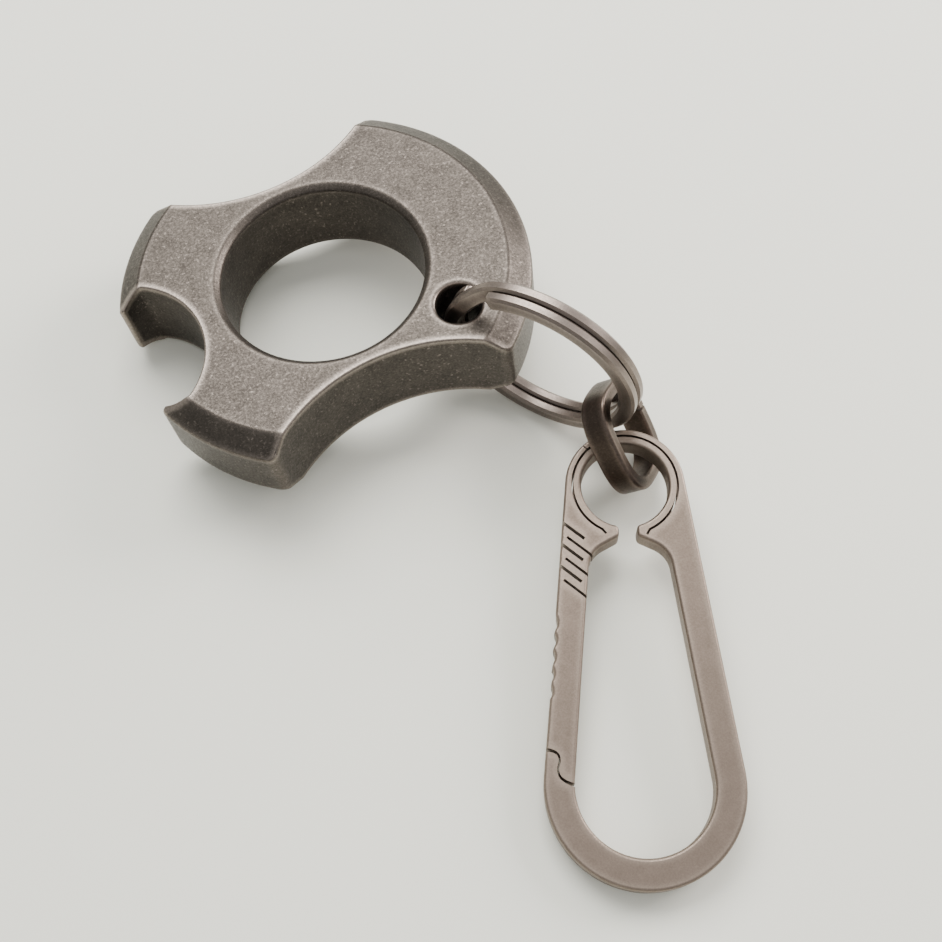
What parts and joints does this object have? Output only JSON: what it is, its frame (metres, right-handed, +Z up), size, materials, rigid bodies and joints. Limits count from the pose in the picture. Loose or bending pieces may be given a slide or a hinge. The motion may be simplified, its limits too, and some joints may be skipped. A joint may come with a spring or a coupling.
{
  "type": "keychain bottle opener",
  "caption": "Thick titanium finger-ring bottle opener with a hooked notch, hung by a split ring and an oval link from a flat one-piece carabiner.",
  "frame": {"origin": "on the surface that the object lies on, under the middle of its bounding box", "axes": "+Z up from that surface; +Y runs from the carabiner's bow towards the opener; +X to the carabiner's spine side"},
  "size_m": [0.0582, 0.0896, 0.0231],
  "materials": {
    "stonewashed_titanium": "dark stonewashed titanium, fine mottled grain, bright worn edges",
    "satin_titanium": "satin bead-blasted titanium",
    "tumbled_titanium": "dark tumbled titanium with soft light wear on its edges",
    "blasted_titanium": "warm grey matt bead-blasted titanium"
  },
  "bodies": {
    "opener": {"opener_body": "stonewashed_titanium"},
    "ring": {"split_ring": "satin_titanium"},
    "link": {"oval_link": "tumbled_titanium"},
    "carabiner": {"carabiner_frame": "blasted_titanium"},
    "flexure_top": {"flexure_upper": "blasted_titanium"},
    "flexure_bottom": {"flexure_lower": "blasted_titanium"},
    "gate": {"carabiner_gate": "blasted_titanium"}
  },
  "joints": [
    {"name": "ring_swing", "type": "hinge", "parent": "opener", "child": "ring", "pos_m": [0.00784, 0.01573, 0.00999], "axis": [-0.1252, 0.0506, 0.9908], "range_deg": [-60, 60]},
    {"name": "link_swing", "type": "hinge", "parent": "ring", "child": "link", "pos_m": [0.02312, 0.00451, 0.00702], "axis": [-0.3077, 0.3191, -0.8964], "range_deg": [-15, 15]},
    {"name": "carabiner_swing", "type": "hinge", "parent": "link", "child": "carabiner", "pos_m": [0.02425, 0.0018, 0.00565], "axis": [0.9499, -0.3007, 0.0849], "range_deg": [-10, 30]},
    {"name": "flexure_bend", "type": "hinge", "parent": "carabiner", "child": "flexure_top", "pos_m": [0.0152, -0.00797, 0.00407], "axis": [-0.1079, -0.0607, 0.9923], "range_deg": [0, 3], "stiffness_Nm_per_rad": 0.1},
    {"name": "flexure_bend_middle", "type": "hinge", "parent": "flexure_top", "child": "flexure_bottom", "pos_m": [0.01461, -0.01024, 0.00387], "axis": [-0.1079, -0.0607, 0.9923], "range_deg": [0, 3]},
    {"name": "gate_press", "type": "hinge", "parent": "flexure_bottom", "child": "gate", "pos_m": [0.01402, -0.01251, 0.00366], "axis": [-0.1079, -0.0607, 0.9923], "range_deg": [0, 3]}
  ],
  "couplings": [
    {"joint": "flexure_bend_middle", "follows": "flexure_bend", "ratio": 1},
    {"joint": "gate_press", "follows": "flexure_bend", "ratio": 1}
  ]
}
